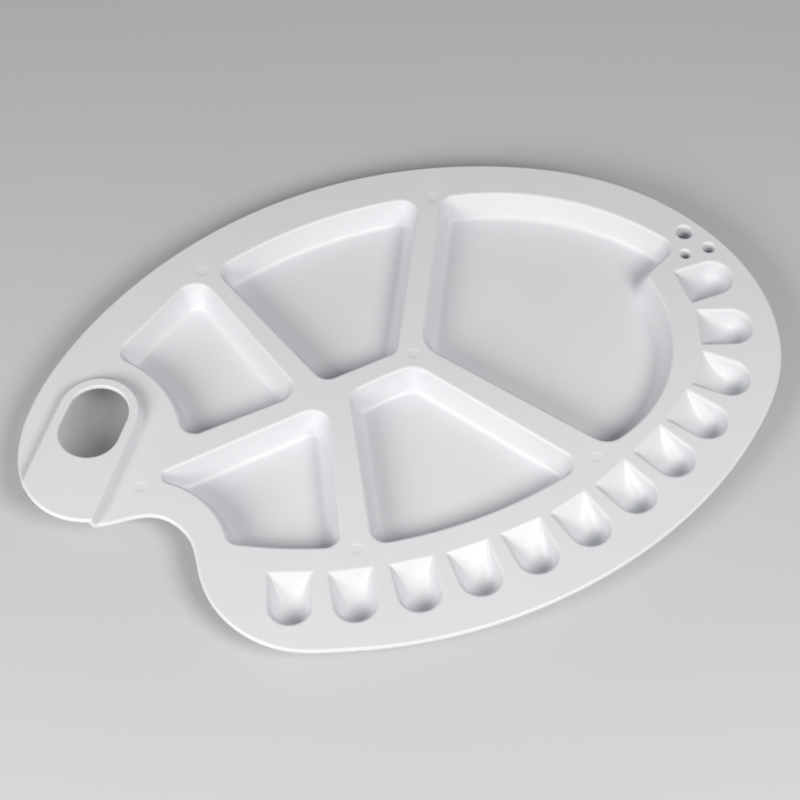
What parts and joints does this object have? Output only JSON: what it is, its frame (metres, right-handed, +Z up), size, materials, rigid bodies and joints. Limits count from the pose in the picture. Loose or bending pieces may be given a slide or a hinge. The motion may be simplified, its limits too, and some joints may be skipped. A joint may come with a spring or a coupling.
{
  "type": "mixing palette",
  "caption": "Oval white plastic mixing palette with large mixing wells, a row of small paint wells along the edge, brush holes and a raised thumb rest.",
  "frame": {"origin": "centre of the palette's bounding box on the plane it stands on (the undersides of the mixing wells)", "axes": "+X along the longest extent towards the rounded end with the brush holes, thumb rest at -X; +Y across the palette, away from the long row of paint wells; +Z up out of the wells"},
  "size_m": [0.3399, 0.239, 0.0189],
  "materials": {
    "white_plastic": "smooth, slightly glossy white moulding"
  },
  "bodies": {
    "root": {"deck": "white_plastic", "thumb_rest": "white_plastic", "mixing_well_1": "white_plastic", "mixing_well_2": "white_plastic", "mixing_well_3": "white_plastic", "mixing_well_4": "white_plastic", "mixing_well_5": "white_plastic", "paint_well_01": "white_plastic", "paint_well_02": "white_plastic", "paint_well_03": "white_plastic", "paint_well_04": "white_plastic", "paint_well_05": "white_plastic", "paint_well_06": "white_plastic", "paint_well_07": "white_plastic", "paint_well_08": "white_plastic", "paint_well_09": "white_plastic", "paint_well_10": "white_plastic", "paint_well_11": "white_plastic", "paint_well_12": "white_plastic", "brush_socket_large": "white_plastic", "brush_socket_medium": "white_plastic", "brush_socket_small": "white_plastic"}
  },
  "joints": []
}
